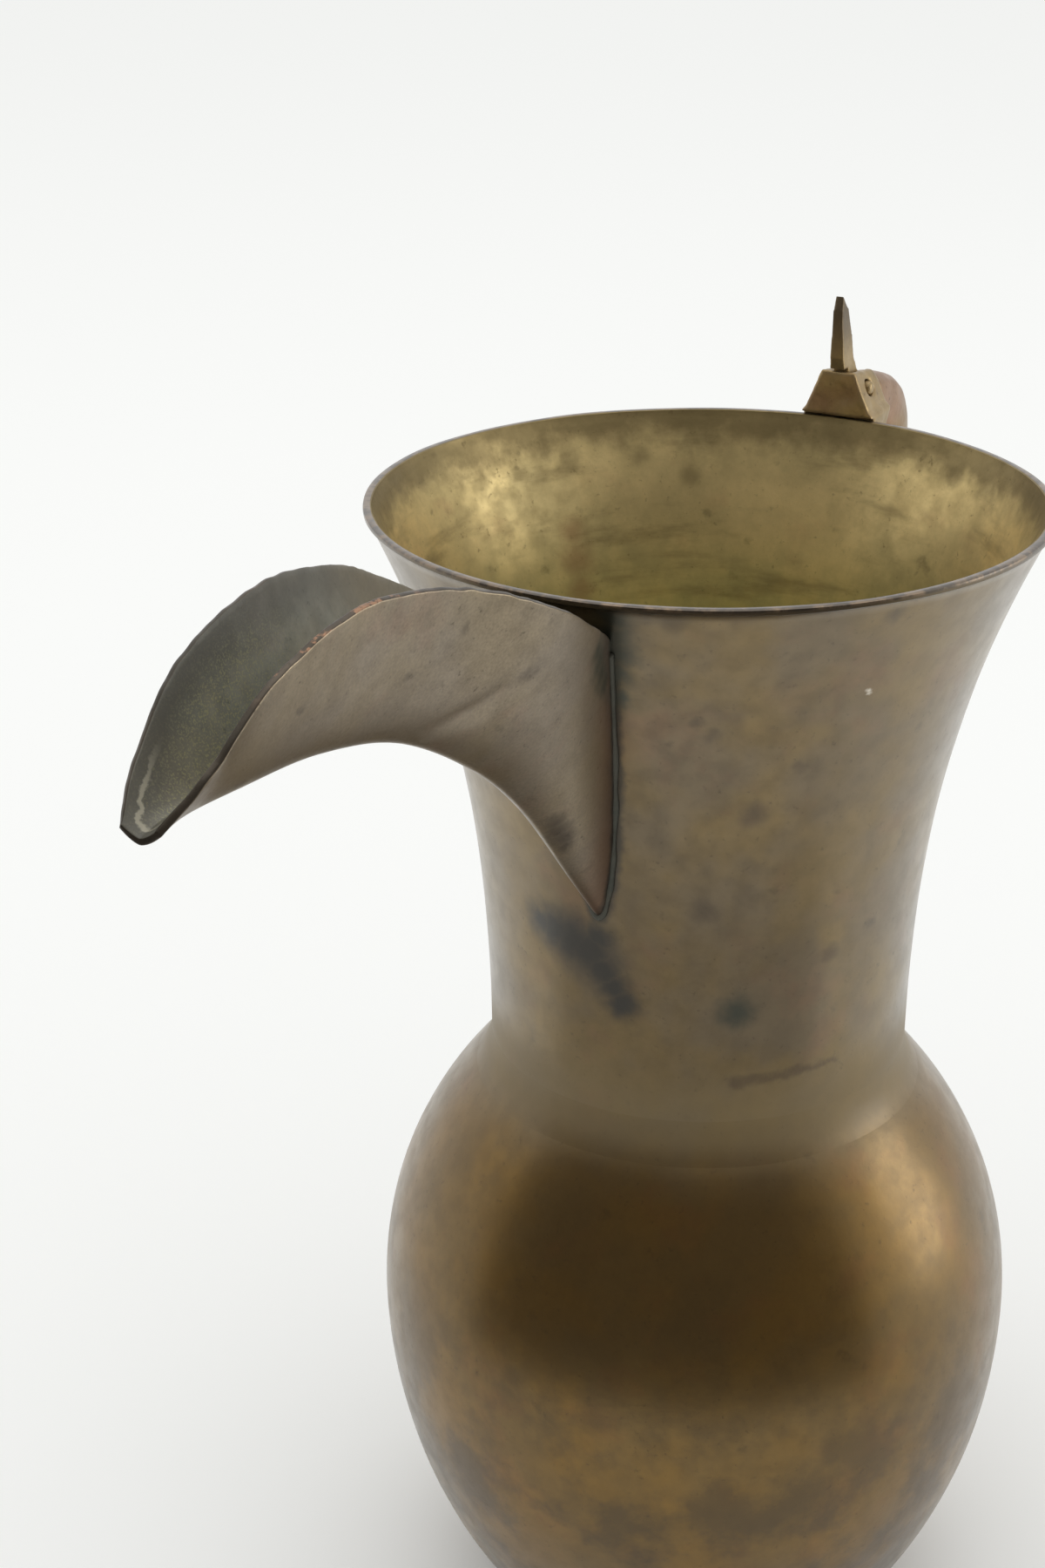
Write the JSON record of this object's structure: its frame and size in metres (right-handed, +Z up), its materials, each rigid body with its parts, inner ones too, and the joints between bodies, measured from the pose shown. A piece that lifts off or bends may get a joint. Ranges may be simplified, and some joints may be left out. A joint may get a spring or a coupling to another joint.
{
  "type": "brass pitcher",
  "caption": "Brass pitcher with a flared neck, round belly, long open beak spout soldered below the rim, curved handle, and the pivoting thumb lever of a lost lid on its hinge lug.",
  "frame": {"origin": "centre of the flat underside, on the vessel's axis", "axes": "+Z up along the vessel's axis, +X towards the spout's tip, -X towards the handle"},
  "size_m": [0.216, 0.1, 0.2057],
  "materials": {
    "tarnished_brass": "satin, brown tarnish",
    "spout_brass": "satin, grey-brown tarnish",
    "cast_brass": "satin",
    "handle_brass": "satin",
    "solder": "dull grey"
  },
  "bodies": {
    "vessel": {"neck_shell": "tarnished_brass", "belly_shell": "tarnished_brass", "neck_braze_fillet": "tarnished_brass", "base_plate": "tarnished_brass", "base_solder_ring": "solder", "spout_beak": "spout_brass", "spout_solder_bead": "solder", "hinge_lug": "cast_brass", "hinge_pin": "cast_brass", "handle_bar": "handle_brass", "handle_pad": "handle_brass", "upper_pad_rivet": "handle_brass", "lower_pad_rivet": "handle_brass", "upper_rivet_burr": "handle_brass", "lower_rivet_burr": "handle_brass"},
    "lever": {"thumb_lever": "cast_brass"}
  },
  "joints": [
    {"name": "thumb_lever_hinge", "type": "hinge", "parent": "vessel", "child": "lever", "pos_m": [-0.0528, 0, 0.1904], "axis": [0, -1, 0], "range_deg": [0, 75]}
  ]
}
